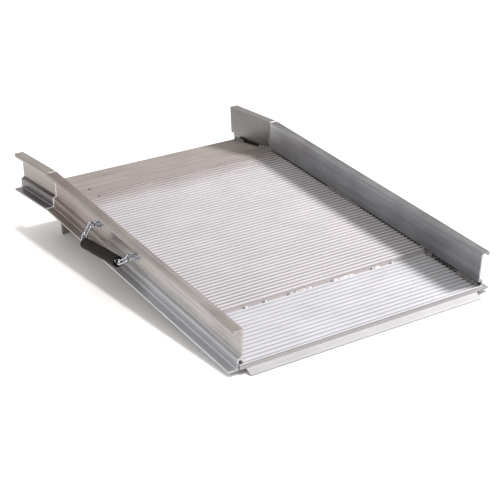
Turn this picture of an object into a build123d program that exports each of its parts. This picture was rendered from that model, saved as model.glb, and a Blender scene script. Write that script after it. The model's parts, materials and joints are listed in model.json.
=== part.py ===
from build123d import *
import math
import os

# Welded aluminium walk ramp with a level apron, a kerb leg and a carry handle.
# Units are millimetres.  The finished part has +Y up the slope, +Z up, and its
# origin at the middle of the lip's flat foot, on the floor.

# ---- driving dimensions -----------------------------------------------------
SLOPE = 7.125                # deck rise, 1 in 8, degrees
KINK = SLOPE                 # the apron rails turn down by this, so they end up level
CLEAR_WIDTH = 643.0          # between the upper webs of the two rails
MAIN_LENGTH = 867.0          # lower end to the mitre, along the deck
APRON_LENGTH = 197.0         # mitre to the upper end of the rails
RAIL_TOP = 84.0              # top of the rails over the entry plank's rib tops
DECK_STEP = 8.0              # main deck rib tops over the entry plank's rib tops

FLANGE_WIDTH = 24.0          # top flange, outward from the web's inner face
FLANGE_LIP = 10.0            # depth of the top flange's turned-down edge
WALL = 4.0                   # upper web and top flange
LIP_WALL = 3.5               # the flange's turned-down edge
STEP_OUT = 8.5               # how far the lower web stands outside the upper web
SHOULDER_UNDER = 9.0         # underside of the shoulder that the deck tucks below
SHOULDER_OUTER = 12.5        # top of the lower web's outer face
SHOULDER_TOP = 17.0          # where the upper web's outer face ends
FOOT_WALL = 4.5              # lower web and bottom flange
FOOT_WIDTH = 33.0            # bottom flange tip, outward from the upper web
RAIL_BOTTOM = -15.2          # underside of the bottom flange

SKIN = 3.2                   # thickness of the deck extrusions' skin
RIB_HEIGHT = 2.4
RIB_TOP = 5.6                # width of a rib's flat top
RIB_FLANK = 1.0              # how far a rib's flank leans out at its foot
PLANK_RIBS = 13
RIB_PITCH = 12.7
PLANK_COUNT = 4
PLANK_DEPTH = 21.0           # rib tops to the feet of the stiffening webs
ENTRY_RIBS = 14
ENTRY_PITCH = 13.4
ENTRY_LAND = 5.0             # flat land in front of the first rib
ENTRY_DEPTH = 11.6
STRIP_RIBS = 5
STRIP_PITCH = 11.5
STRIP_RIB_HEIGHT = 1.7
STRIP_GAP = 0.1              # between the last plank's end and the strip
DECK_END_GAP = 0.5           # from a plank's end to the lower web

LIP_REACH = 18.0             # lip tip in front of the entry plank
LIP_DROP = 7.7               # fall of the lip's top face over that reach
LIP_THICK = 3.2
LIP_TIP = 1.9                # height of the lip's blunt edge
LIP_FOOT = 9.0               # width of the flat that stands on the floor
LIP_INSET = 7.0              # lip end to the upper web plane
LIP_TUCK = 34.0              # how far the lip reaches back under the plank

APRON_END = 187.0            # upper edge of the apron plate, from the mitre
APRON_THICK = 4.5
PLATE_CLEAR = 0.6            # plate's underside over the bottom flanges, at its upper edge

LEG_WIDTH = 548.0
LEG_THICK = 6.0
LEG_AT = 100.0               # near face of the leg, from the mitre
LEG_FLANGE = 40.0

EYE_LOWER = 447.0            # eyebolt positions along the deck
EYE_UPPER = 635.0
EYE_HEIGHT = 42.0
EYE_OUT = 24.0               # eye centre, outward from the upper web's inner face
EYE_WIRE = 4.6
EYE_RADIUS = 8.0             # mean radius of the eye
SHANK_RADIUS = 3.95
HOLE_RADIUS = 4.1            # in the web, the washers and the nuts
WASHER_DIAMETER = 19.0
WASHER_THICK = 1.6
NUT_ACROSS_FLATS = 13.0
NUT_HEIGHT = 6.0

LINK_WIRE = 4.0
LINK_PITCH = 20.9            # inside length of a chain link
LINK_WIDTH = 16.6            # outside width of a chain link
LINK_PLAY = 0.8              # gap between neighbouring links
LINK_SEAT = 1.3              # sideways seat of a slanting link in what it hooks
GRIP_LINKS = 9               # links inside the grip; odd, so both end links stand upright

GRIP_DIAMETER = 27.0
GRIP_BORE = 20.4
GRIP_START = 8.0             # lower mouth, from the first inner link's end wire
GRIP_LENGTH = 166.0

WELD = 5.0                   # leg length of the fillet welds
BEAD_HEIGHT = 1.1            # how far the mitre bead stands off the rail
BEAD_WIDTH = 7.0

ENTRY_BEAD = 11.0            # closes the gap under the shoulder beside the entry plank
APRON_BEAD = 13.0            # the plate lies lower than the deck, so its fillets are larger

# Welds run in short stitches; each pair is where one starts and ends.
STEP_STITCHES = [(-199, -187), (-146, -134), (-80, -12), (42, 111), (156, 185), (213, 225)]
STRIP_STITCHES = [(-216, -129), (141, 219)]
PLATE_STITCHES = [(-216, -122), (109, 148)]
SIDE_STITCHES_ENTRY = [(2, 75), (164, 188)]
SIDE_STITCHES_MAIN = [(192, 206), (463, 582)]
SIDE_STITCHES_APRON = [(4, 70), (150, 198)]
LEG_STITCHES = [(-270, -200), (-40, 40), (200, 270)]

# ---- frames -----------------------------------------------------------------
HALF_CLEAR = CLEAR_WIDTH / 2
DECK_HALF_WIDTH = HALF_CLEAR + STEP_OUT - DECK_END_GAP
TIP_Y = -ENTRY_LAND - LIP_REACH
TIP_Z = -ENTRY_DEPTH - LIP_DROP


def along_slope(angle):
    """Unit vector up the slope of a surface that rises by angle degrees."""
    turn = math.radians(angle)
    return Vector(0, math.cos(turn), math.sin(turn))


# The floor, seen from the deck's own frame, falls by SLOPE as y grows.
floor_run = along_slope(-SLOPE)
floor_up = Vector(0, math.sin(math.radians(SLOPE)), math.cos(math.radians(SLOPE)))
tip_top = Vector(0, TIP_Y, TIP_Z)
tip_foot = tip_top - floor_up * LIP_TIP
heel_foot = tip_foot + floor_run * LIP_FOOT
foot_middle = (tip_foot + heel_foot) * 0.5

deck_frame = Location((0, 0, 0), (SLOPE, 0, 0)) * Location(-foot_middle)
mitre_frame = deck_frame * Location((0, MAIN_LENGTH, 0), (-KINK, 0, 0))
FLOOR_DROP = mitre_frame.position.Z      # apron rail datum above the floor

# The ribbed strip and the smooth plate lie in one plane, from the end of the
# main deck down to the bottom flanges at the upper end.
MAIN_START = ENTRY_RIBS * ENTRY_PITCH + 2.0
MAIN_END = MAIN_START + PLANK_COUNT * PLANK_RIBS * RIB_PITCH
strip_start = Vector(0, MAIN_END, DECK_STEP)
kink_turn = math.radians(KINK)
plate_edge = Vector(
    0,
    MAIN_LENGTH + APRON_END * math.cos(kink_turn),
    -APRON_END * math.sin(kink_turn),
) + Vector(0, math.sin(kink_turn), math.cos(kink_turn)) * (
    RAIL_BOTTOM + APRON_THICK + PLATE_CLEAR
)
plate_run = plate_edge - strip_start
PLATE_ANGLE = math.degrees(math.atan2(plate_run.Z, plate_run.Y))
PLATE_FALL = -PLATE_ANGLE - KINK         # how far the plate leans below the apron rails
plate_frame = deck_frame * Location(strip_start, (PLATE_ANGLE, 0, 0))
STRIP_WIDTH = STRIP_RIBS * STRIP_PITCH
PLATE_WIDTH = plate_run.length - STRIP_WIDTH


# ---- helpers ----------------------------------------------------------------
def outline(points):
    """Closed face from corner points in the sketch plane."""
    return make_face(Polyline(*points, close=True))


def across(profile, half_width):
    """Extrude a (y, z) profile evenly to both sides, along x."""
    face = Plane.YZ * profile
    return extrude(face, half_width, both=True)


def corner_bead(start, end, first_leg, second_leg, leg=WELD):
    """Fillet weld along a corner: a slightly swollen triangle, swept from start to end."""
    first = first_leg.normalized() * leg
    second = second_leg.normalized() * leg
    crown = (first + second) * 0.6
    toe = ThreePointArc(start + first, start + crown, start + second)
    section = make_face([Line(start, start + first), toe, Line(start + second, start)])
    run = end - start
    return extrude(section, amount=run.length, dir=run.normalized())


def seam_bead(x_from, x_to, y, root, crown):
    """Rounded bead along x that fills a joint from root up to its crown."""
    low_left = (y - BEAD_WIDTH / 2, root)
    low_right = (y + BEAD_WIDTH / 2, root)
    rise = ThreePointArc(low_left, (y, crown), low_right)
    section = Plane.YZ * make_face([rise, Line(low_right, low_left)])
    return extrude(Location((x_from, 0, 0)) * section, amount=x_to - x_from, dir=(1, 0, 0))


def save(name, solids, frame):
    """Place solids, given in a frame, and write them as one sub-part."""
    placed = [frame * solid for solid in solids]
    shape = placed[0] if len(placed) == 1 else Compound(children=placed)
    shape.label = name
    export_step(shape, f"parts/{name}.step")


# ---- rails ------------------------------------------------------------------
def rail_profile():
    """Section in (outward, up), measured from the upper web's inner face."""
    foot_top = RAIL_BOTTOM + FOOT_WALL
    foot_web = STEP_OUT + FOOT_WALL
    lip_start = FLANGE_WIDTH - LIP_WALL
    face = outline([
        (0, RAIL_TOP),
        (0, SHOULDER_UNDER),
        (STEP_OUT, SHOULDER_UNDER),
        (STEP_OUT, RAIL_BOTTOM),
        (FOOT_WIDTH, RAIL_BOTTOM),
        (FOOT_WIDTH, foot_top),
        (foot_web, foot_top),
        (foot_web, SHOULDER_OUTER),
        (WALL, SHOULDER_TOP),
        (WALL, RAIL_TOP - WALL),
        (lip_start, RAIL_TOP - WALL),
        (lip_start, RAIL_TOP - FLANGE_LIP),
        (FLANGE_WIDTH, RAIL_TOP - FLANGE_LIP),
        (FLANGE_WIDTH, RAIL_TOP),
    ])
    roundings = {
        (foot_web, foot_top): 3.5,
        (foot_web, SHOULDER_OUTER): 1.8,
        (WALL, SHOULDER_TOP): 2.5,
        (WALL, RAIL_TOP - WALL): 2.0,
        (lip_start, RAIL_TOP - WALL): 1.2,
        (lip_start, RAIL_TOP - FLANGE_LIP): 0.8,
        (FLANGE_WIDTH, RAIL_TOP): 1.2,
        (0, RAIL_TOP): 0.8,
    }
    for (out, up), radius in roundings.items():
        corner = face.vertices().sort_by_distance((out, up, 0))[0]
        face = fillet(corner, radius)
    return face


def rail_section(side):
    """Rail face in the x-z plane: side is -1 for the left rail, +1 for the right."""
    face = Plane(origin=(side * HALF_CLEAR, 0, 0), x_dir=(side, 0, 0), z_dir=(0, -side, 0))
    return face * rail_profile()


def mitre_plane():
    """Plane that halves the turn between the main rails and the apron rails."""
    half_turn = math.radians(KINK / 2)
    return Plane(
        origin=(0, MAIN_LENGTH, 0),
        x_dir=(1, 0, 0),
        z_dir=(0, math.cos(half_turn), -math.sin(half_turn)),
    )


def main_rail(side):
    bar = extrude(rail_section(side), MAIN_LENGTH + 60, dir=(0, 1, 0))
    return split(bar, bisect_by=mitre_plane(), keep=Keep.BOTTOM)


def apron_rail(side):
    lead = 60.0
    section = Location((0, -lead, 0)) * rail_section(side)
    bar = extrude(section, lead + APRON_LENGTH, dir=(0, 1, 0))
    bar = Location((0, MAIN_LENGTH, 0), (-KINK, 0, 0)) * bar
    return split(bar, bisect_by=mitre_plane(), keep=Keep.TOP)


def mitre_bead(side):
    """Weld bead that rings the rail at the mitre, above the deck and outside it."""
    section = offset(rail_profile(), amount=BEAD_HEIGHT, kind=Kind.INTERSECTION)
    plane = Plane(origin=(side * HALF_CLEAR, 0, 0), x_dir=(side, 0, 0), z_dir=(0, -side, 0))
    ring = extrude(plane * section, BEAD_WIDTH / 2, both=True)
    web_side = Location((side * (HALF_CLEAR - 4), 0, -12)) * Box(12, 60, 66)
    under_shoulder = Location((side * HALF_CLEAR, 0, -20)) * Box(20, 60, 60)
    floor_room = Location((side * HALF_CLEAR, 0, RAIL_BOTTOM - 10)) * Box(120, 60, 20)
    lip_hollow = Location((side * (HALF_CLEAR + 11), 0, 76)) * Box(19, 60, 9)
    for cut in (web_side, under_shoulder, floor_room, lip_hollow):
        ring = ring - cut
    ring = Location((0, MAIN_LENGTH, 0), (-KINK / 2, 0, 0)) * ring
    return ring - main_rail(side) - apron_rail(side)


# ---- deck -------------------------------------------------------------------
def ribbed_top(ribs, pitch, start, top):
    """Corner points of a run of ribs, from low y to high y."""
    groove = top - RIB_HEIGHT
    side_gap = (pitch - RIB_TOP) / 2
    points = []
    for rib in range(ribs):
        y = start + rib * pitch
        points += [
            (y + side_gap - RIB_FLANK, groove),
            (y + side_gap, top),
            (y + side_gap + RIB_TOP, top),
            (y + side_gap + RIB_TOP + RIB_FLANK, groove),
        ]
    return points


def stiffener(y, underside, bottom, foot=14.0, wall=3.0):
    """T-shaped web that hangs under the skin."""
    return outline([
        (y - wall / 2, underside),
        (y - wall / 2, bottom + wall),
        (y - foot / 2, bottom + wall),
        (y - foot / 2, bottom),
        (y + foot / 2, bottom),
        (y + foot / 2, bottom + wall),
        (y + wall / 2, bottom + wall),
        (y + wall / 2, underside),
    ])


def deck_plank(index):
    """One interlocking extrusion of the main deck."""
    width = PLANK_RIBS * RIB_PITCH
    start = MAIN_START + index * width
    groove = DECK_STEP - RIB_HEIGHT
    underside = groove - SKIN
    tongue = 7.0
    tongue_thick = 2.4
    gap = 0.15
    skin = outline([
        (start, underside),
        (start, groove),
        *ribbed_top(PLANK_RIBS, RIB_PITCH, start, DECK_STEP),
        (start + width - gap, groove),
        (start + width - gap, underside),
    ])
    bottom = DECK_STEP - PLANK_DEPTH
    section = skin
    for y in (start + 14, start + width / 2, start + width - 14):
        section += stiffener(y, underside, bottom)
    if index == 0:
        section += outline([
            (start, groove),
            (start + 3, groove),
            (start + 3, bottom),
            (start, bottom),
        ])
    if index < PLANK_COUNT - 1:
        ledge = underside - tongue_thick
        section += outline([
            (start + width - 6, underside),
            (start + width + tongue, underside),
            (start + width + tongue, ledge),
            (start + width - 6, ledge),
        ])
    return across(section, DECK_HALF_WIDTH)


def entry_plank():
    """Lower, thinner extrusion that carries the lip."""
    groove = -RIB_HEIGHT
    underside = groove - SKIN
    back = MAIN_START - 0.2
    section = outline([
        (-ENTRY_LAND, -ENTRY_DEPTH),
        (-ENTRY_LAND, 0),
        (-ENTRY_LAND + 3.6, 0),
        (-ENTRY_LAND + 4.6, groove),
        *ribbed_top(ENTRY_RIBS, ENTRY_PITCH, 0.0, 0.0),
        (back, groove),
        (back, underside),
        (-ENTRY_LAND + 3.0, underside),
        (-ENTRY_LAND + 3.0, -ENTRY_DEPTH),
    ])
    for y in (62.0, 124.0, back - 9.0):
        section += stiffener(y, underside, -ENTRY_DEPTH, foot=12.0, wall=2.6)
    return across(section, DECK_HALF_WIDTH)


def lip_nosing():
    """Bent strip under the entry plank, with a flat foot parallel to the floor."""
    top = -ENTRY_DEPTH
    slope = math.atan2(LIP_DROP, LIP_REACH)
    under = top - LIP_THICK
    # lower face of the slanting part, met with the heel of the foot
    bend_back = LIP_THICK * math.tan(slope / 2)
    section = outline([
        (LIP_TUCK, top),
        (-ENTRY_LAND, top),
        (tip_top.Y, tip_top.Z),
        (tip_foot.Y, tip_foot.Z),
        (heel_foot.Y, heel_foot.Z),
        (-ENTRY_LAND + bend_back, under),
        (LIP_TUCK, under),
    ])
    return across(section, HALF_CLEAR - LIP_INSET)


def transition_strip():
    """Fine-ribbed strip over the mitre, in the apron plate's frame."""
    groove = -STRIP_RIB_HEIGHT
    underside = groove - SKIN
    flank = 0.8
    side_gap = (STRIP_PITCH - RIB_TOP) / 2
    lean = math.tan(math.radians(-PLATE_ANGLE))
    points = [(STRIP_GAP - underside * lean, underside), (STRIP_GAP - groove * lean, groove)]
    for rib in range(STRIP_RIBS):
        y = rib * STRIP_PITCH + side_gap
        points += [(y - flank, groove), (y, 0), (y + RIB_TOP, 0), (y + RIB_TOP + flank, groove)]
    points += [(STRIP_WIDTH - 0.1, groove), (STRIP_WIDTH - 0.1, underside)]
    return across(outline(points), DECK_HALF_WIDTH)


def apron_plate():
    """Smooth plate down to the kerb, with its upper edge cut upright."""
    end = STRIP_WIDTH + PLATE_WIDTH
    lean = APRON_THICK * math.tan(math.radians(PLATE_FALL))
    section = outline([
        (STRIP_WIDTH + 0.1, -APRON_THICK),
        (STRIP_WIDTH + 0.1, 0),
        (end - 2.0, 0),
        (end, -1.6),
        (end + lean, -APRON_THICK),
    ])
    return across(section, DECK_HALF_WIDTH)


def plate_underside(t):
    """Height of the plate's underside in the apron rails' frame, at t from the mitre."""
    fall = math.radians(PLATE_FALL)
    edge_top = RAIL_BOTTOM + APRON_THICK + PLATE_CLEAR
    return edge_top + (APRON_END - t) * math.tan(fall) - APRON_THICK / math.cos(fall)


def kerb_leg():
    """Bent plate: a flange under the apron plate and an upright that meets the floor."""
    start = LEG_AT - LEG_FLANGE
    far = LEG_AT + LEG_THICK
    section = outline([
        (start, plate_underside(start)),
        (far, plate_underside(far)),
        (far, -FLOOR_DROP),
        (LEG_AT, -FLOOR_DROP),
        (LEG_AT, plate_underside(LEG_AT) - LEG_THICK),
        (start, plate_underside(start) - LEG_THICK),
    ])
    inside = section.vertices().sort_by_distance((LEG_AT, plate_underside(LEG_AT) - LEG_THICK, 0))
    section = fillet(inside[0], 3.0)
    return across(section, LEG_WIDTH / 2)


# ---- welds ------------------------------------------------------------------
def step_welds():
    """Short welds at the foot of the step from the entry plank to the main deck."""
    plank = entry_plank()
    beads = []
    for start, end in STEP_STITCHES:
        low = Vector(start, MAIN_START, -RIB_HEIGHT)
        high = Vector(end, MAIN_START, -RIB_HEIGHT)
        bead = corner_bead(low, high, Vector(0, -1, 0), Vector(0, 0, 1), leg=6.8)
        beads.append(bead - plank)
    return beads


def strip_welds():
    """Beads between the main deck and the ribbed strip, in the plate's frame."""
    plank = plate_frame.inverse() * (deck_frame * deck_plank(PLANK_COUNT - 1))
    strip = transition_strip()
    beads = [seam_bead(a, b, 0, -2.2, 1.3) for a, b in STRIP_STITCHES]
    return [bead - plank - strip for bead in beads]


def plate_welds():
    """Beads between the ribbed strip and the smooth plate, in the plate's frame."""
    strip = transition_strip()
    plate = apron_plate()
    beads = [seam_bead(a, b, STRIP_WIDTH, -1.6, 1.2) for a, b in PLATE_STITCHES]
    return [bead - strip - plate for bead in beads]


def side_welds(side):
    """Stitches between the deck and the upper web, on the inner side of one rail."""
    inward = Vector(-side, 0, 0)
    x = side * HALF_CLEAR
    beads = []
    for start, end in SIDE_STITCHES_ENTRY:
        low = Vector(x, start, 0)
        beads.append(corner_bead(low, Vector(x, end, 0), inward, Vector(0, 0, 1), leg=ENTRY_BEAD))
    for start, end in SIDE_STITCHES_MAIN:
        low = Vector(x, start, DECK_STEP)
        beads.append(corner_bead(low, Vector(x, end, DECK_STEP), inward, Vector(0, 0, 1), leg=6.5))
    return beads


def apron_side_welds(side):
    """Stitches between the apron's strip and plate and the upper web."""
    inward = Vector(-side, 0, 0)
    x = side * HALF_CLEAR
    rail = plate_frame.inverse() * (deck_frame * apron_rail(side))
    beads = []
    for start, end in SIDE_STITCHES_APRON:
        low = Vector(x, start, 0)
        bead = corner_bead(low, Vector(x, end, 0), inward, Vector(0, 0, 1), leg=APRON_BEAD)
        beads.append(bead - rail)
    return beads


def leg_welds():
    """Fillets along both edges of the leg's flange, under the apron plate."""
    start = LEG_AT - LEG_FLANGE
    far = LEG_AT + LEG_THICK
    beads = []
    for t, outward in ((start, -1), (far, 1)):
        z = plate_underside(t)
        for x_from, x_to in LEG_STITCHES:
            slope = Vector(0, outward, -outward * math.tan(math.radians(PLATE_FALL)))
            low = Vector(x_from, t, z)
            beads.append(corner_bead(low, Vector(x_to, t, z), slope, Vector(0, 0, -1)))
    return beads


def lip_welds():
    """Fillets under the entry plank, where the lip's ends stop short of the rails."""
    z = -ENTRY_DEPTH
    beads = []
    for side in (-1, 1):
        edge = side * (HALF_CLEAR - LIP_INSET)
        corner = Vector(edge, -ENTRY_LAND + 0.2, z)
        back = corner + Vector(0, 2.6, 0)
        beads.append(corner_bead(corner, back, Vector(side, 0, 0), Vector(0, 0, -1), leg=3.0))
    return beads


# ---- handle -----------------------------------------------------------------
def outboard(out, y, z):
    """Point beside the left rail: out is measured outward from the web's inner face."""
    return Vector(-HALF_CLEAR - out, y, z)


def outward_plane(out, y):
    """Plane across an eyebolt's shank, facing outward."""
    return Plane(origin=outboard(out, y, EYE_HEIGHT), x_dir=(0, 1, 0), z_dir=(-1, 0, 0))


def rod(radius, length):
    """Cylinder that stands on its plane."""
    return Cylinder(radius, length, align=(Align.CENTER, Align.CENTER, Align.MIN))


def eyebolt(y):
    """Shank through the web, with a round eye that stands across the rail."""
    inner_end = -WASHER_THICK - NUT_HEIGHT - 2.5
    shank = outward_plane(inner_end, y) * rod(SHANK_RADIUS, EYE_OUT - EYE_RADIUS - inner_end)
    ring_plane = Plane(origin=outboard(EYE_OUT, y, EYE_HEIGHT), z_dir=(0, 1, 0))
    ring = ring_plane * Torus(EYE_RADIUS, EYE_WIRE / 2)
    return shank + ring


def washer(y, out):
    """Flat washer whose inner face is at out."""
    disc = rod(WASHER_DIAMETER / 2, WASHER_THICK) - Cylinder(HOLE_RADIUS, 20)
    return outward_plane(out, y) * disc


def nut(y, out):
    """Hexagon nut with chamfered corners, whose inner face is at out."""
    corner_radius = NUT_ACROSS_FLATS / math.sqrt(3)
    hexagon = extrude(RegularPolygon(corner_radius, 6), NUT_HEIGHT)
    turned = chamfer(rod(corner_radius, NUT_HEIGHT).edges(), 0.9)
    return outward_plane(out, y) * ((hexagon & turned) - Cylinder(HOLE_RADIUS, 40))


def chain_link(start_wire, end_wire, across_plane):
    """Oval link between the middles of its two end wires; across_plane is its normal."""
    run = end_wire - start_wire
    bend = (LINK_WIDTH - LINK_WIRE) / 2
    straight = LINK_PITCH + LINK_WIRE - 2 * bend
    wire = Circle(LINK_WIRE / 2)
    half_turn = revolve(Plane.XZ * (Location((bend, 0, 0)) * wire), Axis.Z, 180)
    link = Location((0, straight / 2, 0)) * half_turn
    link += Location((0, -straight / 2, 0), (0, 0, 180)) * half_turn
    for side in (-bend, bend):
        link += Location((side, 0, 0)) * Cylinder(LINK_WIRE / 2, straight, rotation=(90, 0, 0))
    normal = across_plane - run * (across_plane.dot(run) / run.dot(run))
    middle = (start_wire + end_wire) * 0.5
    plane = Plane(origin=middle, x_dir=run.cross(normal) * -1, z_dir=normal)
    return plane * link


ACROSS_RAIL = Vector(1, 0, 0)
ALONG_RAIL = Vector(0, 1, 0)
UPWARD = Vector(0, 0, 1)

# The chain: its end links hinge on the lines through the two eyes, and the
# links inside the grip lie along the grip's axis.
WIRE_SPAN = LINK_PITCH + LINK_WIRE       # middle of one end wire to the other's
LINK_STEP = LINK_PITCH - LINK_PLAY
WIRE_GAP = LINK_WIRE + LINK_PLAY         # between the end wires of linked links
HINGE_OUT = EYE_OUT + EYE_RADIUS - EYE_WIRE / 2 - LINK_WIRE / 2 - 0.8
LINK_REACH = Vector(-20.1, 5.2, -7.5)    # how the lower end link stands out from its eye
lower_hinge = outboard(HINGE_OUT, EYE_LOWER, EYE_HEIGHT)
upper_hinge = outboard(HINGE_OUT, EYE_UPPER, EYE_HEIGHT)
lower_seat = lower_hinge - ALONG_RAIL * LINK_SEAT
upper_seat = upper_hinge + ALONG_RAIL * LINK_SEAT
first_wire = lower_seat + LINK_REACH.normalized() * (WIRE_SPAN - WIRE_GAP)
chain_axis = (outboard(47.2, 630.0, 5.5) - first_wire).normalized()
last_wire = first_wire + chain_axis * (GRIP_LINKS * LINK_STEP + WIRE_GAP)
hanger_low = last_wire - chain_axis * WIRE_GAP


def lower_link():
    """End link from the lower eye out to the grip's lower mouth."""
    far_wire = lower_seat + LINK_REACH.normalized() * WIRE_SPAN
    return chain_link(lower_seat, far_wire, LINK_REACH.cross(ALONG_RAIL))


def upper_links():
    """The two links that hang from the upper eye down to the grip's upper mouth."""
    line = upper_seat - (hanger_low - ALONG_RAIL * LINK_SEAT)
    rise = Vector(line.X, 0, line.Z)
    low_side = WIRE_SPAN - WIRE_GAP
    high_side = math.sqrt(WIRE_SPAN ** 2 - line.Y ** 2)
    # In the hanger's plane: a triangle whose outer corner is where the two links meet.
    along = (low_side ** 2 - high_side ** 2 + rise.length ** 2) / (2 * rise.length)
    aside = math.sqrt(low_side ** 2 - along ** 2)
    outward = Vector(-rise.Z, 0, rise.X).normalized()
    meeting = hanger_low + rise.normalized() * along + outward * aside
    hanger_top = hanger_low + (meeting - hanger_low).normalized() * WIRE_SPAN
    hanger = chain_link(hanger_low, hanger_top, ALONG_RAIL)
    corner = meeting - ALONG_RAIL * LINK_SEAT
    coupler = chain_link(upper_seat, corner, (corner - upper_seat).cross(ALONG_RAIL))
    return coupler, hanger


def grip_chain():
    """Links inside the grip, each turned a quarter from the last."""
    links = []
    for index in range(GRIP_LINKS):
        start = first_wire + chain_axis * (index * LINK_STEP)
        normal = ACROSS_RAIL if index % 2 == 0 else UPWARD
        links.append(chain_link(start, start + chain_axis * WIRE_SPAN, normal))
    return links


def grip():
    """Rubber tube with softened mouths."""
    tube = rod(GRIP_DIAMETER / 2, GRIP_LENGTH) - Cylinder(GRIP_BORE / 2, 3 * GRIP_LENGTH)
    tube = fillet(tube.edges().filter_by(GeomType.CIRCLE), 1.2)
    start = first_wire + chain_axis * GRIP_START
    return Plane(origin=start, x_dir=ACROSS_RAIL, z_dir=chain_axis) * tube


def holes_for_bolts():
    """Clearance holes for the eyebolts, through the left rail's upper web."""
    return [outward_plane(-10, y) * rod(HOLE_RADIUS, 20) for y in (EYE_LOWER, EYE_UPPER)]


# ---- the sub-parts ----------------------------------------------------------
def main():
    os.makedirs("parts", exist_ok=True)
    eyes = (EYE_LOWER, EYE_UPPER)
    inside = -WASHER_THICK

    save("lip_nosing", [lip_nosing()], deck_frame)
    save("entry_plank", [entry_plank()], deck_frame)
    for index in range(PLANK_COUNT):
        save(f"deck_plank_{index + 1}", [deck_plank(index)], deck_frame)
    save("transition_strip", [transition_strip()], plate_frame)
    save("apron_plate", [apron_plate()], plate_frame)
    save("kerb_leg", [kerb_leg()], mitre_frame)

    left_bar = main_rail(-1)
    for hole in holes_for_bolts():
        left_bar = left_bar - hole
    save("left_rail", [left_bar], deck_frame)
    save("right_rail", [main_rail(1)], deck_frame)
    save("left_rail_apron", [apron_rail(-1)], deck_frame)
    save("right_rail_apron", [apron_rail(1)], deck_frame)

    save("mitre_welds", [mitre_bead(-1), mitre_bead(1)], deck_frame)
    save("step_welds", step_welds(), deck_frame)
    save("strip_welds", strip_welds(), plate_frame)
    save("plate_welds", plate_welds(), plate_frame)
    save("leg_welds", leg_welds(), mitre_frame)
    save("lip_welds", lip_welds(), deck_frame)
    for name, side in (("left", -1), ("right", 1)):
        save(f"{name}_deck_welds", side_welds(side), deck_frame)
        save(f"{name}_apron_welds", apron_side_welds(side), plate_frame)

    save("eyebolts", [eyebolt(y) for y in eyes], deck_frame)
    save("outer_washers", [washer(y, WALL) for y in eyes], deck_frame)
    save("inner_washers", [washer(y, inside) for y in eyes], deck_frame)
    save("outer_nuts", [nut(y, WALL + WASHER_THICK) for y in eyes], deck_frame)
    save("inner_nuts", [nut(y, inside - NUT_HEIGHT) for y in eyes], deck_frame)

    coupler, hanger = upper_links()
    save("lower_end_link", [lower_link()], deck_frame)
    save("upper_end_link", [coupler], deck_frame)
    save("upper_hanger_link", [hanger], deck_frame)
    save("grip_chain", grip_chain(), deck_frame)
    save("handle_grip", [grip()], deck_frame)

    print("floor below the apron rails' datum", round(FLOOR_DROP, 3))


main()
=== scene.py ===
"""Looks of the aluminium walk ramp: materials, weld beads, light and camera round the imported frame."""

import json
import math

import bmesh
import bpy
from mathutils import Matrix, Vector, noise

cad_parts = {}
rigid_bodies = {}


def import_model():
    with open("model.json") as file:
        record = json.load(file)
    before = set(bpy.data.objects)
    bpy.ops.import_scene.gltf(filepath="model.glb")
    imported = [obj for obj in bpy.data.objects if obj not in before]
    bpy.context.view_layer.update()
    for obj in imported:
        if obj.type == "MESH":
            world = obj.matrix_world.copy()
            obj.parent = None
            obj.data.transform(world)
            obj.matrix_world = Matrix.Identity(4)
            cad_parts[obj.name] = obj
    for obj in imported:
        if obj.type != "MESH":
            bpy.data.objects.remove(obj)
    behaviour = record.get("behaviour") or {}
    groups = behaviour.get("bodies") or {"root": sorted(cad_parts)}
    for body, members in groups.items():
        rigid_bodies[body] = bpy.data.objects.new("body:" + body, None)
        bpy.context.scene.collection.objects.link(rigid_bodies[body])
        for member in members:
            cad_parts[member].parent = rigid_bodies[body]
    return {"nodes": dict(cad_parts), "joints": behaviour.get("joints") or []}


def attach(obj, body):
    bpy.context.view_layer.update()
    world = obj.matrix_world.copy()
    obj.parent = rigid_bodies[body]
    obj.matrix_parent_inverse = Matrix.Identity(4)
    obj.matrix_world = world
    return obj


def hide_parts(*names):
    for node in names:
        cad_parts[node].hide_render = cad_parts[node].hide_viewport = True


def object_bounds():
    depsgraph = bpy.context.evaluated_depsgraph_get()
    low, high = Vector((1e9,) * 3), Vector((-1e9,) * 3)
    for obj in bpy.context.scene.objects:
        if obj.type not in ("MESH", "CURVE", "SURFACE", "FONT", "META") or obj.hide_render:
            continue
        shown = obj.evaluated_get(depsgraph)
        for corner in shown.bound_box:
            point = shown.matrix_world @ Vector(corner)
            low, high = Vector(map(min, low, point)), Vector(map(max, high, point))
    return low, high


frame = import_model()
cad_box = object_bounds()
nodes = frame["nodes"]
joints = {joint["name"]: joint for joint in frame["joints"]}
scene = bpy.context.scene

# ---- frames of reference ----------------------------------------------------
# The deck's frame has x across, y up the slope and z square to the deck.  The
# handle swings about a line along the deck, so that joint's axis gives the slope.
run = Vector(joints["handle_swing"]["axis"]).normalized()
SLOPE = math.atan2(run.z, run.y)
FOOT = Vector((0.0, -0.018770, -0.021740))    # the row frame's origin, seen from the deck's datum
HALF_CLEAR = 0.3215                            # middle of the deck to a rail's upper web
MITRE = 0.867                                  # up the slope to the rails' bend
PLATE_TILT = math.radians(-11.571)             # strip and plate, against the deck
PLATE_START = Vector((0.0, 0.850, 0.008))      # the plate frame's origin, in the deck's frame
SIDES = ((-1, "left"), (1, "right"))


def turned(angle):
    """Rotation about the x axis, which runs across the ramp."""
    return Matrix.Rotation(angle, 4, "X")


def from_deck(point):
    return turned(SLOPE) @ (Vector(point) - FOOT)


def to_deck(point):
    return turned(-SLOPE) @ point + FOOT


def from_plate(point):
    return from_deck(turned(PLATE_TILT) @ Vector(point) + PLATE_START)


def to_plate(point):
    return turned(-PLATE_TILT) @ (to_deck(point) - PLATE_START)


def axes(place):
    """Directions across, along and up a frame, in the row frame."""
    start = place((0, 0, 0))
    return [place(axis) - start for axis in ((1, 0, 0), (0, 1, 0), (0, 0, 1))]


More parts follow.
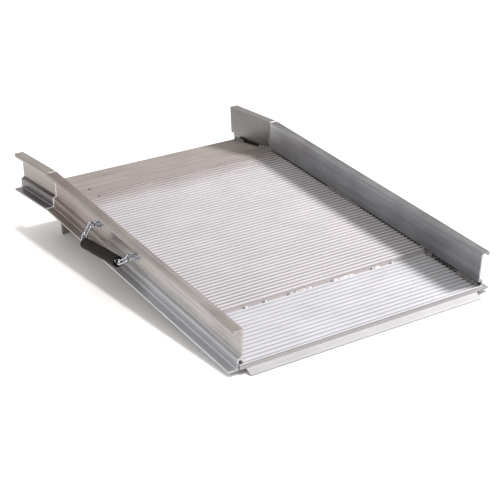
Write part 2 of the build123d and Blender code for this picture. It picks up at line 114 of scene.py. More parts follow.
DECK = (to_deck, from_deck)
PLATE = (to_plate, from_plate)


# ---- node material helpers --------------------------------------------------
class Nodes:
    """Small helper around one material's node tree."""

    def __init__(self, name, metallic=0.0, gloss=0.5):
        self.material = bpy.data.materials.new(name)
        self.material.use_nodes = True
        self.tree = self.material.node_tree
        self.shader = self.tree.nodes["Principled BSDF"]
        self.shader.inputs["Metallic"].default_value = metallic
        self.shader.inputs["Specular IOR Level"].default_value = gloss

    def add(self, kind, **settings):
        node = self.tree.nodes.new(kind)
        for key, value in settings.items():
            setattr(node, key, value)
        return node

    def link(self, source, target):
        self.tree.links.new(source, target)

    def coords(self, tilt=0.0, origin=(0.0, 0.0, 0.0)):
        """Object coordinates turned by -tilt about X, then moved by origin."""
        source = self.add("ShaderNodeTexCoord")
        turn = self.add("ShaderNodeMapping")
        turn.inputs["Rotation"].default_value = (-tilt, 0.0, 0.0)
        turn.inputs["Location"].default_value = origin
        self.link(source.outputs["Object"], turn.inputs["Vector"])
        return turn.outputs["Vector"]

    def stretched(self, vector, scale):
        """The same coordinates, scaled per axis."""
        node = self.add("ShaderNodeMapping")
        node.inputs["Scale"].default_value = scale
        self.link(vector, node.inputs["Vector"])
        return node.outputs["Vector"]

    def split(self, vector):
        """Across, along and up as three sockets, X, Y and Z."""
        node = self.add("ShaderNodeSeparateXYZ")
        self.link(vector, node.inputs["Vector"])
        return node.outputs["X"], node.outputs["Y"], node.outputs["Z"]

    def noise(self, vector, scale=1.0, detail=3.0, rough=0.55, distortion=0.0):
        node = self.add("ShaderNodeTexNoise")
        node.inputs["Scale"].default_value = scale
        node.inputs["Detail"].default_value = detail
        node.inputs["Roughness"].default_value = rough
        node.inputs["Distortion"].default_value = distortion
        self.link(vector, node.inputs["Vector"])
        return node.outputs["Fac"]

    def remap(self, value, low, high, to_low=0.0, to_high=1.0):
        node = self.add("ShaderNodeMapRange", clamp=True)
        node.inputs["From Min"].default_value = low
        node.inputs["From Max"].default_value = high
        node.inputs["To Min"].default_value = to_low
        node.inputs["To Max"].default_value = to_high
        self.link(value, node.inputs["Value"])
        return node.outputs["Result"]

    def math(self, operation, first, second):
        node = self.add("ShaderNodeMath", operation=operation)
        for index, value in enumerate((first, second)):
            if isinstance(value, (int, float)):
                node.inputs[index].default_value = value
            else:
                self.link(value, node.inputs[index])
        return node.outputs["Value"]

    def blend(self, *shares):
        """Sum of (socket, weight) pairs."""
        total = None
        for value, weight in shares:
            part = value if weight == 1.0 else self.math("MULTIPLY", value, weight)
            total = part if total is None else self.math("ADD", total, part)
        return total

    def drift(self, value, wander, reach):
        """A coordinate pushed to and fro by a noise."""
        return self.blend((value, 1.0), (self.math("SUBTRACT", wander, 0.5), reach))

    def mix(self, factor, low, high, blend="MIX"):
        """Mix two colours, each a tuple or a socket, by a number or a socket."""
        node = self.add("ShaderNodeMix", data_type="RGBA", blend_type=blend)
        factor_socket, low_socket, high_socket = node.inputs[0], node.inputs[6], node.inputs[7]
        for socket, value in ((factor_socket, factor), (low_socket, low), (high_socket, high)):
            if isinstance(value, (int, float)):
                socket.default_value = value
            elif isinstance(value, tuple):
                socket.default_value = (*value, 1.0)
            else:
                self.link(value, socket)
        return node.outputs[2]

    def darken(self, factor, base, by):
        return self.mix(factor, base, by, "MULTIPLY")

    def colour(self, socket):
        self.link(socket, self.shader.inputs["Base Color"])

    def roughness(self, value, rough, low=0.3, high=0.7):
        self.link(self.remap(value, low, high, *rough), self.shader.inputs["Roughness"])

    def bump(self, height, strength, distance):
        node = self.add("ShaderNodeBump")
        node.inputs["Strength"].default_value = strength
        node.inputs["Distance"].default_value = distance
        self.link(height, node.inputs["Height"])
        self.link(node.outputs["Normal"], self.shader.inputs["Normal"])


def scaled(colour, factor):
    """A colour made lighter or darker, no lighter than white."""
    return tuple(min(1.0, channel * factor) for channel in colour)


def streaks(across, along, axis):
    """Scale of a noise that is drawn out along one axis."""
    scale = [across] * 3
    scale[axis] = along
    return tuple(scale)


# ---- materials --------------------------------------------------------------
ON_DECK = (SLOPE, tuple(FOOT))
ON_PLATE = (SLOPE + PLATE_TILT, tuple(turned(-PLATE_TILT) @ (FOOT - PLATE_START)))
LEVEL = (0.0, (0.0, 0.0, 0.0))
ACROSS, ALONG = 0, 1

STAIN_BROWN = (0.66, 0.60, 0.57)
STAIN_BEIGE = (0.60, 0.53, 0.50)
# painted highlight: lighter, bluish colours for the lower web near the foot
LOWER_WEB_HIGHLIGHT = ((0.40, 0.405, 0.425), (0.56, 0.57, 0.60))     # lower web near the foot
LOWER_WEB_HIGHLIGHT_TOP = (0.0170, 0.0180)                            # height over which that fades out
# painted shade: on the web's step, and on the web under it
LEDGE_SHADE = (0.32, 0.29, 0.29)
UNDER_LEDGE_SHADE = (0.62, 0.64, 0.70)
# painted shade: a dark line along the flange's turned outer edge
EDGE_SHADE = (0.05, 0.042, 0.04)
EDGE_SHADE_SHARE = 0.75
FLANGE_EDGE = (0.3435, 0.3445)                           # how far out the flange's turned edge is
# painted shade: the flange's top face is made darker
FLANGE_TOP_SHADE = (0.56, 0.535, 0.52)
SOFT_EDGE = 0.0006                                       # fade of the painted bands
STEP_FADE = 0.001


def extrusion(name, tint, dirt, seen_from, along, rough, metallic=1.0, gloss=0.5,
              stain=None, ledge=None, line=None, bright=None):
    """Mill-finish aluminium, with its die lines along one axis of the frame it is seen from.

    stain is the run up the slope over which the metal turns brown, and bright the run
    over which the painted highlight on the lower web fades.  ledge is the height band
    of a step in the web that is painted dark as shade, with painted shade on the web
    under it.  line is the height band on the flange's outer edge that holds a painted
    shade line; above it the flange's top face is painted darker as shade.
    """
    m = Nodes(name, metallic, gloss)
    place = m.coords(*seen_from)
    lines = m.noise(m.stretched(place, streaks(420.0, 4.0, along)), detail=4.0, rough=0.65)
    bands = m.noise(m.stretched(place, streaks(60.0, 1.6, along)), detail=3.0, rough=0.6)
    clouds = m.noise(place, scale=9.0, detail=5.0, rough=0.6, distortion=0.4)
    specks = m.noise(place, scale=240.0, detail=2.0, rough=0.7)
    scuff = m.noise(m.stretched(place, (26.0, 40.0, 40.0)), scale=2.0, detail=6.0, rough=0.75,
                    distortion=1.2)
    across, up_slope, height = m.split(place)

    shade = m.blend((lines, 0.45), (bands, 0.35), (clouds, 0.35))
    metal = m.mix(m.remap(shade, 0.43, 0.70), dirt, tint)
    metal = m.mix(m.remap(specks, 0.66, 0.8, 0.0, 0.35), metal, scaled(dirt, 0.6))
    metal = m.mix(m.remap(scuff, 0.62, 0.78, 0.0, 0.4), metal, scaled(tint, 1.12))
    if stain:
        metal = m.darken(m.remap(m.drift(up_slope, scuff, 0.2), *stain), metal, STAIN_BROWN)
    # painted highlight: the lower web near the foot made lighter and bluish, fading out up the slope
    if bright:
        low_part = m.remap(height, LOWER_WEB_HIGHLIGHT_TOP[1], LOWER_WEB_HIGHLIGHT_TOP[0])
        near_part = m.remap(up_slope, *bright, 1.0, 0.0)
        painted_highlight = m.mix(m.remap(lines, 0.3, 0.7), *LOWER_WEB_HIGHLIGHT)
        metal = m.mix(m.math("MULTIPLY", low_part, near_part), metal, painted_highlight)
    # painted shade: a dark band on the web's step, and darker, bluish metal under it
    if ledge:
        under = m.remap(height, ledge[0], ledge[0] + STEP_FADE, 1.0, 0.0)
        up_to_top = m.remap(height, ledge[1], ledge[1] + STEP_FADE, 1.0, 0.0)
        metal = m.darken(under, metal, UNDER_LEDGE_SHADE)
        metal = m.darken(m.math("SUBTRACT", up_to_top, under), metal, LEDGE_SHADE)
    # painted shade: a dark line along the flange's outer edge
    if line:
        above = m.remap(height, line[0] - SOFT_EDGE, line[0])
        below = m.remap(height, line[1], line[1] + SOFT_EDGE, 1.0, 0.0)
        outer = m.remap(m.math("ABSOLUTE", across, 0.0), *FLANGE_EDGE)
        inside = m.math("MULTIPLY", m.math("MULTIPLY", above, below), outer)
        metal = m.mix(m.math("MULTIPLY", inside, EDGE_SHADE_SHARE), metal, EDGE_SHADE)
        # painted shade: the flange's top face made darker than the web below it
        flange_top = line[1] + 0.0020
        metal = m.darken(m.remap(height, flange_top, flange_top + SOFT_EDGE), metal, FLANGE_TOP_SHADE)
    m.colour(metal)
    m.roughness(m.blend((clouds, 0.6), (lines, 0.4)), rough)
    m.bump(m.blend((lines, 0.8), (specks, 0.3)), 0.5, 0.00012)
    return m.material


def ribbed(name, tint, groove, seen_from, top, depth, rough, metallic, stain=None, painted_wall_light=1.5):
    """Ribbed aluminium: scuffed rib tops over dull grooves, split by height.

    top is the rib tops' height and depth the grooves'.  Below the grooves is the plank's
    end wall, whose colour is painted light: painted_wall_light times a warmer copy of the tint.
    stain is the run up the slope over which the surface turns beige.
    """
    m = Nodes(name, metallic, 0.2)
    place = m.coords(*seen_from)
    lines = m.noise(m.stretched(place, (5.0, 500.0, 500.0)), detail=4.0, rough=0.65)
    wear = m.noise(m.stretched(place, (7.0, 90.0, 90.0)), detail=5.0, rough=0.7, distortion=0.6)
    clouds = m.noise(place, scale=6.5, detail=5.0, rough=0.6, distortion=0.5)
    specks = m.noise(place, scale=260.0, detail=2.0, rough=0.7)
    _, up_slope, height = m.split(place)

    tops = m.mix(m.remap(wear, 0.3, 0.75), scaled(tint, 0.86), tint)
    tops = m.mix(m.remap(clouds, 0.35, 0.7, 0.3, 0.0), tops, scaled(tint, 0.82))
    tops = m.mix(m.remap(lines, 0.45, 0.75, 0.0, 0.3), tops, scaled(tint, 1.1))
    low = m.mix(m.remap(clouds, 0.3, 0.7), scaled(groove, 0.8), groove)
    metal = m.mix(m.remap(height, top - depth, top - depth * 0.12), low, tops)
    floor_of_groove = top - depth
    wall = m.remap(height, floor_of_groove - 0.0006, floor_of_groove - 0.0002, 1.0, 0.0)
    # painted light: the plank's end wall gets a lighter, warmer copy of the tint
    painted_wall_tint = tuple(painted_wall_light * t * warmth for t, warmth in zip(tint, (1.0, 0.95, 0.91)))
    metal = m.mix(wall, metal, painted_wall_tint)
    if stain:
        smear = m.noise(m.stretched(place, (9.0, 60.0, 60.0)), detail=5.0, rough=0.7, distortion=0.8)
        metal = m.darken(m.remap(m.drift(up_slope, smear, 0.11), *stain), metal, STAIN_BEIGE)
    m.colour(m.mix(m.remap(specks, 0.68, 0.8, 0.0, 0.3), metal, scaled(groove, 0.7)))
    m.roughness(m.blend((wear, 0.5), (clouds, 0.5)), rough)
    m.bump(m.blend((lines, 0.9), (specks, 0.4)), 0.5, 0.00015)
    return m.material


def weld_metal(name, soot_tint, tint, bright, metallic):
    """Filler metal with patches of soot and a fine grain."""
    m = Nodes(name, metallic)
    place = m.coords()
    patches = m.noise(place, scale=230.0, detail=4.0, rough=0.6, distortion=0.8)
    grain = m.noise(place, scale=900.0, detail=3.0, rough=0.6)
    filler = m.mix(m.remap(patches, 0.36, 0.56), soot_tint, tint)
    m.colour(m.mix(m.remap(grain, 0.55, 0.8, 0.0, 0.4), filler, bright))
    m.roughness(patches, (0.62, 0.42))
    m.bump(m.blend((patches, 1.0), (grain, 0.4)), 0.6, 0.0003)
    return m.material


def zinc(name, tint, rough):
    """Bright zinc plate with slight clouding and dull pits."""
    m = Nodes(name, 1.0)
    place = m.coords()
    clouds = m.noise(place, scale=160.0, detail=4.0, rough=0.6, distortion=0.5)
    pits = m.noise(place, scale=1300.0, detail=2.0, rough=0.6)
    tone = m.mix(m.remap(clouds, 0.35, 0.65), scaled(tint, 0.72), tint)
    m.colour(m.mix(m.remap(pits, 0.62, 0.8, 0.0, 0.5), tone, (0.34, 0.33, 0.33)))
    m.roughness(clouds, rough)
    m.bump(m.blend((clouds, 1.0), (pits, 0.5)), 0.35, 0.0002)
    return m.material


def grip_rubber(axis_tilt):
    """Black rubber hose: fine lines round it, dust and a dull sheen."""
    m = Nodes("grip_rubber", 0.0, 0.12)
    place = m.coords(axis_tilt)
    rings = m.noise(m.stretched(place, (40.0, 900.0, 40.0)), detail=3.0, rough=0.6)
    dust = m.noise(place, scale=55.0, detail=6.0, rough=0.7, distortion=0.8)
    grain = m.noise(place, scale=1500.0, detail=2.0, rough=0.6)
    base = m.mix(m.remap(dust, 0.42, 0.72), (0.0055, 0.0042, 0.0037), (0.014, 0.011, 0.010))
    m.colour(m.mix(m.remap(grain, 0.6, 0.85, 0.0, 0.35), base, (0.045, 0.038, 0.035)))
    m.roughness(dust, (0.5, 0.72))
    m.bump(m.blend((rings, 0.6), (grain, 0.5)), 0.5, 0.0003)
    return m.material


def lumpy(name, dark, light, lump, detail, light_from, rough, relief, metallic, gloss):
    """Dull lumps in two tones: burnt filler, and the painted shade in open joints."""
    m = Nodes(name, metallic, gloss)
    lumps = m.noise(m.coords(), scale=lump, detail=detail, rough=0.7)
    m.colour(m.mix(m.remap(lumps, 0.35, light_from), dark, light))
    m.roughness(lumps, rough)
    m.bump(lumps, *relief)
    return m.material


rib_metal = ribbed("deck_ribs", (0.315, 0.307, 0.318), (0.205, 0.184, 0.186), ON_DECK,
                   top=0.008, depth=0.0024, rough=(0.54, 0.7), metallic=0.42, stain=(0.765, 0.85))
entry_metal = ribbed("entry_ribs", (0.315, 0.315, 0.330), (0.282, 0.277, 0.291), ON_DECK,
                     top=0.0, depth=0.0024, rough=(0.5, 0.66), metallic=0.42, painted_wall_light=1.25)
strip_metal = ribbed("strip_ribs", (0.165, 0.147, 0.138), (0.10, 0.086, 0.080), ON_PLATE,
                     top=0.0, depth=0.0017, rough=(0.6, 0.75), metallic=0.2)
plate_metal = extrusion("apron_plate", (0.20, 0.178, 0.169), (0.12, 0.103, 0.095), ON_PLATE, ACROSS,
                        rough=(0.7, 0.85), metallic=0.25, gloss=0.15)
lip_metal = extrusion("lip_metal", (0.238, 0.236, 0.245), (0.169, 0.166, 0.171), ON_DECK, ACROSS,
                      rough=(0.7, 0.85), metallic=0.15, gloss=0.15)
left_metal = extrusion("left_rail_metal", (0.51, 0.49, 0.485), (0.29, 0.268, 0.26), ON_DECK, ALONG,
                       rough=(0.24, 0.38), metallic=0.78, stain=(0.30, 0.80), line=(0.0796, 0.0812),
                       bright=(0.35, 0.62))
right_metal = extrusion("right_rail_metal", (0.485, 0.50, 0.53), (0.255, 0.26, 0.275), ON_DECK, ALONG,
                        rough=(0.26, 0.4), line=(0.0796, 0.0812))
# painted shade: the level apron rails take darker copies of the rails' metal, the right one darkest
left_apron_shaded_metal = extrusion("left_apron_rail_shaded_metal", (0.36, 0.325, 0.31), (0.21, 0.185, 0.175),
                             LEVEL, ALONG, rough=(0.26, 0.4), ledge=(0.1446, 0.1496),
                             line=(0.2122, 0.2138))
right_apron_shaded_metal = extrusion("right_apron_rail_shaded_metal", (0.23, 0.222, 0.222), (0.14, 0.132, 0.132),
                              LEVEL, ALONG, rough=(0.28, 0.42), line=(0.2122, 0.2138))
leg_metal = extrusion("leg_metal", (0.42, 0.39, 0.38), (0.32, 0.30, 0.29), LEVEL, ACROSS,
                      rough=(0.38, 0.52))
weld = weld_metal("weld_filler", (0.030, 0.025, 0.023), (0.115, 0.108, 0.106),
                  (0.155, 0.148, 0.146), 0.3)
over_weld = weld_metal("flange_weld_filler", (0.12, 0.105, 0.10), (0.27, 0.255, 0.25),
                       (0.33, 0.31, 0.31), 0.4)
# light, clean filler, painted lighter still as a highlight on the bead outside the mitre
highlight_weld = weld_metal("mitre_weld_painted_highlight", (0.34, 0.32, 0.31), (0.72, 0.70, 0.69),
                        (0.80, 0.78, 0.77), 0.45)
soot = lumpy("weld_soot", (0.030, 0.025, 0.022), (0.10, 0.085, 0.078), lump=500.0, detail=4.0,
             light_from=0.65, rough=(0.7, 0.9), relief=(0.6, 0.0003), metallic=0.2, gloss=0.5)
# painted shade: near-black lumps that stand in for the shade in open joints
gap_shade = lumpy("joint_gap_shade", (0.006, 0.005, 0.005), (0.030, 0.026, 0.024), lump=420.0, detail=5.0,
              light_from=0.7, rough=(0.8, 0.95), relief=(0.8, 0.0004), metallic=0.0, gloss=0.12)
hardware = zinc("zinc_hardware", (0.56, 0.59, 0.65), (0.18, 0.36))
chain_metal = zinc("zinc_chain", (0.58, 0.60, 0.65), (0.16, 0.34))
grip_axis = Vector(joints["grip_spin"]["axis"]).normalized()
rubber = grip_rubber(math.atan2(grip_axis.z, grip_axis.y))

HARDWARE = ("eyebolts", "outer_washers", "inner_washers", "outer_nuts", "inner_nuts")
CHAIN = ("lower_end_link", "upper_end_link", "upper_hanger_link", "grip_chain")
FINISH = {
    "entry_plank": entry_metal,
    "transition_strip": strip_metal,
    "apron_plate": plate_metal,
    "lip_nosing": lip_metal,
    "left_rail": left_metal,
    "right_rail": right_metal,
    "left_rail_apron": left_apron_shaded_metal,
    "right_rail_apron": right_apron_shaded_metal,
    "kerb_leg": leg_metal,
    "handle_grip": rubber,
    **{f"deck_plank_{index}": rib_metal for index in range(1, 5)},
    **dict.fromkeys(HARDWARE, hardware),
    **dict.fromkeys(CHAIN, chain_metal),
}
for name, node in nodes.items():
    node.data.materials.clear()
    node.data.materials.append(FINISH.get(name, weld))     # the rest are weld beads


# ---- meshes -----------------------------------------------------------------
def placed(name, data):
    thing = bpy.data.objects.new(name, data)
    scene.collection.objects.link(thing)
    return thing


def lofted(name, rings, metal):
    """Closed, smooth piece through rings of points, capped at both ends."""
    mesh = bmesh.new()
    loops = [[mesh.verts.new(point) for point in ring] for ring in rings]
    for a, b in zip(loops, loops[1:]):
        for k in range(len(a)):
            after = (k + 1) % len(a)
            mesh.faces.new((a[k], a[after], b[after], b[k]))
    mesh.faces.new(list(reversed(loops[0])))
    mesh.faces.new(loops[-1])
    bmesh.ops.recalc_face_normals(mesh, faces=mesh.faces)
    data = bpy.data.meshes.new(name)
    mesh.to_mesh(data)
    mesh.free()
    for polygon in data.polygons:
        polygon.use_smooth = True
    data.materials.append(metal)
    return placed(name, data)


def joined(name, parts):
    """One object out of several."""
    bpy.ops.object.select_all(action="DESELECT")
    for part in parts:
        part.select_set(True)
    bpy.context.view_layer.objects.active = parts[0]
    bpy.ops.object.join()
    piece = bpy.context.view_layer.objects.active
    piece.name = name
    return piece


def islands(name):
    """Each separate solid of a CAD node, as a list of its points in the row frame."""
    mesh = bmesh.new()
    mesh.from_mesh(nodes[name].data)
    bmesh.ops.remove_doubles(mesh, verts=mesh.verts, dist=1e-6)
    mesh.verts.ensure_lookup_table()
    seen = set()
    found = []
    for vert in mesh.verts:
        if vert.index in seen:
            continue
        seen.add(vert.index)
        group = []
        waiting = [vert]
        while waiting:
            here = waiting.pop()
            group.append(here.co.copy())
            for edge in here.link_edges:
                other = edge.other_vert(here)
                if other.index not in seen:
                    seen.add(other.index)
                    waiting.append(other)
        found.append(group)
    mesh.free()
    return found


def extents(node, frame_of):
    """Lowest and highest corner of each of a node's solids, in another frame."""
    found = []
    for points in islands(node):
        local = [frame_of(point) for point in points]
        found.append(tuple(Vector(pick(p[i] for p in local) for i in range(3)) for pick in (min, max)))
    return found


# ---- weld beads -------------------------------------------------------------
CROWN_FACES = 8          # faces over a bead's crown
FILLET_MOST = 0.0082     # tallest toe of a fillet on a rail's web


def ripple(distance, pitch, seed):
    """Overlapping puddles: a rounded saw along the bead, 0 to 1, with a wandering pitch."""
    wander = noise.noise(Vector((distance * 90.0, seed, 0.0))) * 0.5
    phase = (distance / pitch + wander) % 1.0
    return math.sin(math.pi * phase ** 0.6)


def bead(name, path, first, second, crown, seed, metal,
         pitch=0.0032, tail=0.006, step=0.0008, sink=0.0):
    """Weld bead swept along path, a list of row-frame points.

    first and second give, for each path point, the offsets to the two toes.  crown is how
    far the bead swells past the line between them, and sink how deep its root goes.
    pitch is the ripples' length, tail the length of its tapered ends, step a slice's.
    """
    lengths = [0.0]
    for a, b in zip(path, path[1:]):
        lengths.append(lengths[-1] + (b - a).length)
    total = lengths[-1]
    count = max(8, round(total / step))
    rings = []
    segment = 0
    for index in range(count + 1):
        s = total * index / count
        while segment < len(path) - 2 and s > lengths[segment + 1]:
            segment += 1
        t = (s - lengths[segment]) / (lengths[segment + 1] - lengths[segment])
        centre = path[segment].lerp(path[segment + 1], t)
        toe_a = first[segment].lerp(first[segment + 1], t)
        toe_b = second[segment].lerp(second[segment + 1], t)
        end = min(1.0, min(s, total - s) / tail + 0.12)
        wave = ripple(s, pitch, seed)
        size = max(toe_a.length, toe_b.length)
        wobble = 0.0005 * noise.noise(Vector((s * 140.0, seed + 7.0, 0.0))) + 0.0002 * wave
        wide = end ** 0.5 * (1.0 + wobble / size)
        unevenness = 0.25 * noise.noise(Vector((s * 60.0, seed + 3.0, 0.0)))
        swell = crown * end * (0.72 + 0.4 * wave + unevenness)
        outward = toe_a + toe_b
        outward = outward.normalized() if outward.length > 1e-5 else (toe_b - toe_a).orthogonal()
        ring = []
        for k in range(CROWN_FACES + 1):
            v = k / CROWN_FACES
            arch = math.sin(math.pi * v) ** 0.8 if 0 < k < CROWN_FACES else 0.0
            ring.append(centre + toe_a.lerp(toe_b, v) * wide + outward * (swell * arch))
        ring.append(centre + toe_b * wide - outward * sink)
        ring.append(centre + toe_a * wide - outward * sink)
        rings.append(ring)
    return lofted(name, rings, metal)


def weld_row(name, parts, node):
    """Join beads into the piece that stands for a CAD node."""
    piece = joined(name, parts)
    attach(piece, "ramp")
    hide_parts(node)
    return piece


def side_beads(name, node, side, seen_from):
    """Fillets along a rail: from the upper web's face down on to the deck."""
    frame_of, place = seen_from
    across, _, upward = axes(place)
    inward = across * -side
    edge = side * HALF_CLEAR
    parts = []
    for index, (low, high) in enumerate(extents(node, frame_of)):
        leg = high.z - low.z
        reach = min(leg, 0.0058 if leg < 0.010 else 0.0072)
        ends = [place((edge, y, low.z)) for y in (low.y, high.y)]
        first = inward * reach - upward * 0.001
        second = upward * min(leg, FILLET_MOST)
        parts.append(bead(f"{name}_{index}", ends, [first] * 2, [second] * 2, 0.0006,
                          11.0 * index + side, weld, sink=0.006))
    return weld_row(name, parts, node)


def seam_beads(name, node, seen_from, lift, reach, rise, crown):
    """Beads across the ramp: rise is how high each toe is, before and behind the seam."""
    frame_of, place = seen_from
    _, forward, upward = axes(place)
    first = -forward * reach + upward * rise[0]
    second = forward * reach + upward * rise[1]
    parts = []
    for index, (low, high) in enumerate(extents(node, frame_of)):
        middle = (low.y + high.y) / 2
        ends = [place((x, middle, low.z + lift)) for x in (low.x, high.x)]
        parts.append(bead(f"{name}_{index}", ends, [first] * 2, [second] * 2, crown,
                          5.0 * index + 2.0, weld, pitch=0.0036))
    return weld_row(name, parts, node)


for side, word in SIDES:
    side_beads(f"{word}_deck_beads", f"{word}_deck_welds", side, DECK)
    side_beads(f"{word}_apron_beads", f"{word}_apron_welds", side, PLATE)
seam_beads("step_beads", "step_welds", DECK, 0.0, 0.0034, (0.0002, 0.0050), 0.0004)
seam_beads("strip_beads", "strip_welds", PLATE, 0.0012, 0.0032, (0.0, 0.0), 0.0010)
seam_beads("plate_beads", "plate_welds", PLATE, 0.0010, 0.0030, (0.0, 0.0), 0.0010)


# ---- burnt craters at the left ends of two seams ----------------------------
CRATER_RADIUS = 0.0044
CRATER_POINTS = 20
# share of the radius, and height over the surface, from the skirt in to the pit
CRATER_PROFILE = ((1.0, -0.0010), (1.0, 0.0001), (0.86, 0.0006), (0.66, 0.0007),
                  (0.45, 0.0001), (0.2, -0.0003))


def crater(name, place, x, y, top):
    """Burnt-out crater: a low rim round a dark pit."""
    across, along, upward = axes(place)
    centre = place((x, y, top))
    rings = []
    for share, height in CRATER_PROFILE:
        ring = []
        for k in range(CRATER_POINTS):
            angle = 2 * math.pi * k / CRATER_POINTS
            cosine, sine = math.cos(angle), math.sin(angle)
            wobble = 1.0 + 0.16 * noise.noise(Vector((cosine * 2.0, sine * 2.0, x * 100.0)))
            flat = across * cosine + along * sine * 0.8
            ring.append(centre + flat * (CRATER_RADIUS * share * wobble) + upward * height)
        rings.append(ring)
    piece = lofted(name, rings, soot)
    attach(piece, "ramp")
    return piece


crater("crater_1", from_plate, -0.2162, 0.0500, 0.0)
crater("crater_2", from_deck, -0.2237, 0.8320, 0.0083)


# ---- beads round the rails' mitres ------------------------------------------
# (out from the upper web's inner face, up) along a rail's section.  Both runs keep the
# metal on their left, so the free side is on the right.
OUTSIDE = ((0.033, -0.0105), (0.0165, -0.0105), (0.0131, -0.0080), (0.0131, 0.0125),
           (0.0044, 0.0170), (0.0041, 0.0220), (0.0041, 0.0780), (0.0060, 0.0799),
           (0.0195, 0.0799))
OVER_FLANGE = ((0.0242, 0.0745), (0.0242, 0.0832), (0.0234, 0.0842), (0.0006, 0.0842),
               (-0.0002, 0.0834), (-0.0002, 0.0215))
MITRE_HALF_WIDTH = 0.0031
MITRE_LIFT = 0.0001


def mitre_beads():
    """Bead round each rail at the mitre: outside it, over the flange and down inside."""
    parts = []
    half_turn = turned(-SLOPE / 2)
    lengthwise = turned(SLOPE / 2) @ Vector((0.0, 1.0, 0.0))
    for side, _ in SIDES:
        corner = Vector((side * HALF_CLEAR, MITRE, 0.0))
        # the bead outside the mitre takes the filler painted light as a highlight
        for part, (points, metal) in enumerate(((OUTSIDE, highlight_weld), (OVER_FLANGE, over_weld))):
            path = []
            lifts = []
            for index, (out, up) in enumerate(points):
                before = points[max(0, index - 1)]
                after = points[min(len(points) - 1, index + 1)]
                along = Vector((after[0] - before[0], after[1] - before[1])).normalized()
                normal = Vector((side * along.y, 0.0, -along.x))
                path.append(from_deck(half_turn @ Vector((side * out, 0.0, up)) + corner))
                lifts.append((turned(SLOPE) @ (half_turn @ normal)).normalized() * MITRE_LIFT)
            first = [lift - lengthwise * MITRE_HALF_WIDTH for lift in lifts]
            second = [lift + lengthwise * MITRE_HALF_WIDTH for lift in lifts]
            parts.append(bead(f"mitre_{side}_{part}", path, first, second, 0.0011,
                              31.0 + side + part, metal, pitch=0.003, tail=0.002, sink=0.0008))
    return weld_row("mitre_beads", parts, "mitre_welds")


mitre_beads()


# ---- painted shade: dark wedges in the joints that are not welded ------------
# weld rows, frame, start and end along the rail, and height of the wedge's foot
GAP_SHADE_RUNS = (
    ("deck", DECK, 0.010, 0.176, -0.0020),
    ("deck", DECK, 0.200, 0.842, 0.0060),
    ("apron", PLATE, 0.060, 0.180, -0.0004),
)
GAP_SHADE_SHORTEST = 0.012


def joint_gap_shade(word, side):
    """Painted shade: thin dark wedges between the deck and a rail's web, between weld runs."""
    parts = []
    for part, (row, (frame_of, place), start, end, foot) in enumerate(GAP_SHADE_RUNS):
        across, _, upward = axes(place)
        first = across * (-side * 0.0022) - upward * 0.0005
        second = upward * 0.0042
        welds = extents(f"{word}_{row}_welds", frame_of)
        taken = sorted((low.y, high.y) for low, high in welds if high.y > start and low.y < end)
        at = start
        for low_y, high_y in taken + [(end, end)]:
            if low_y - at > GAP_SHADE_SHORTEST:
                ends = [place((side * HALF_CLEAR, y, foot)) for y in (at + 0.003, low_y - 0.001)]
                parts.append(bead(f"grime_{word}_{part}", ends, [first] * 2, [second] * 2, 0.0002,
                                  3.0 * at + side, gap_shade, pitch=0.006, tail=0.02, step=0.003,
                                  sink=0.002))
            at = max(at, high_y)
    piece = joined(f"{word}_joint_gap_shade", parts)
    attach(piece, "ramp")
    return piece


for side, word in SIDES:
    joint_gap_shade(word, side)

# ---- floor ------------------------------------------------------------------
FLOOR_REACH = 9.0
FLOOR_DROP = 0.0002      # keeps the floor clear of the faces that stand on it
floor_mesh = bpy.data.meshes.new("floor")
corners = [(x * FLOOR_REACH, y * FLOOR_REACH, 0) for x, y in ((-1, -1), (1, -1), (1, 1), (-1, 1))]
floor_mesh.from_pydata(corners, [], [(0, 1, 2, 3)])
floor = placed("floor", floor_mesh)
floor.location = (0.0, 0.0, -FLOOR_DROP)
paper = Nodes("floor_paper", 0.0, 0.1)
paper.shader.inputs["Roughness"].default_value = 0.9
paper_clouds = paper.noise(paper.coords(), scale=2.5, detail=2.0)
paper.colour(paper.mix(paper_clouds, (0.90, 0.895, 0.89), (0.925, 0.92, 0.92)))
floor_mesh.materials.append(paper.material)


# ---- light ------------------------------------------------------------------
def lamp(name, kind, power, colour, aim, place=(0.0, 0.0, 0.0)):
    """Light that shines along aim."""
    data = bpy.data.lights.new(name, kind)
    data.energy = power
    data.color = colour
    thing = placed(name, data)
    thing.location = place
    thing.rotation_mode = "QUATERNION"
    thing.rotation_quaternion = Vector(aim).to_track_quat("-Z", "Y")
    return thing


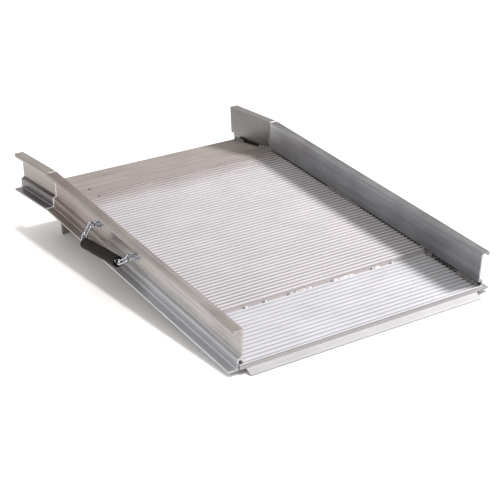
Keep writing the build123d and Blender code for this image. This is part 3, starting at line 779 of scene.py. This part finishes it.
def area_light(name, offset, target, size, power, colour):
    """Rectangular light at offset from the object's middle, shining at a point off it."""
    thing = lamp(name, "AREA", power, colour, Vector(target) - Vector(offset),
                 middle + Vector(offset))
    thing.data.shape = "RECTANGLE"
    thing.data.size, thing.data.size_y = size
    return thing


middle = (cad_box[0] + cad_box[1]) / 2
WARM_WHITE = (1.0, 0.985, 0.97)
overhead = lamp("overhead", "SUN", 1.6, WARM_WHITE, (-0.06, 0.19, -1.0))
overhead.data.angle = math.radians(9.0)
key = area_light("key", (2.2, -1.05, 1.85), (0.0, 0.0, 0.0), (0.55, 0.55), 300.0, (1.0, 0.99, 1.0))
area_light("fill", (-1.9, -1.9, 0.8), (-0.3, -0.3, 0.0), (1.4, 0.9), 8.0, WARM_WHITE)

# The key is flagged off the floor, so that the white floor does not flood the rails.  The
# photograph's floor shadow has no mark of the handle, so the handle casts no overhead shadow.
lit = bpy.data.collections.new("lit_by_key")
casting = bpy.data.collections.new("casts_overhead_shadow")
for thing in scene.objects:
    if thing.type == "MESH" and thing.name != floor.name:
        lit.objects.link(thing)
        if thing.name not in (*CHAIN, "handle_grip"):
            casting.objects.link(thing)
key.light_linking.receiver_collection = lit
overhead.light_linking.blocker_collection = casting

world = bpy.data.worlds.new("studio")
world.use_nodes = True
world.node_tree.nodes["Background"].inputs["Color"].default_value = (0.965, 0.945, 0.925, 1.0)
world.node_tree.nodes["Background"].inputs["Strength"].default_value = 1.0
scene.world = world
scene.view_settings.view_transform = "Standard"

# ---- camera, fitted to the photograph ---------------------------------------
CAMERA_PLACE = Vector((-1.61457, -2.10854, 1.29184))
CAMERA_RIGHT = Vector((0.83960, -0.54185, -0.03901))
CAMERA_FORWARD = Vector((0.48960, 0.78567, -0.37817))
camera_data = bpy.data.cameras.new("camera")
camera_data.lens = 97.003
camera_data.sensor_width = 36.0
camera = placed("camera", camera_data)
right = CAMERA_RIGHT.normalized()
forward = (CAMERA_FORWARD - right * CAMERA_FORWARD.dot(right)).normalized()
view = Matrix((right, right.cross(forward), -forward)).transposed()
camera.matrix_world = Matrix.Translation(CAMERA_PLACE) @ view.to_4x4()
scene.camera = camera

bpy.context.view_layer.update()
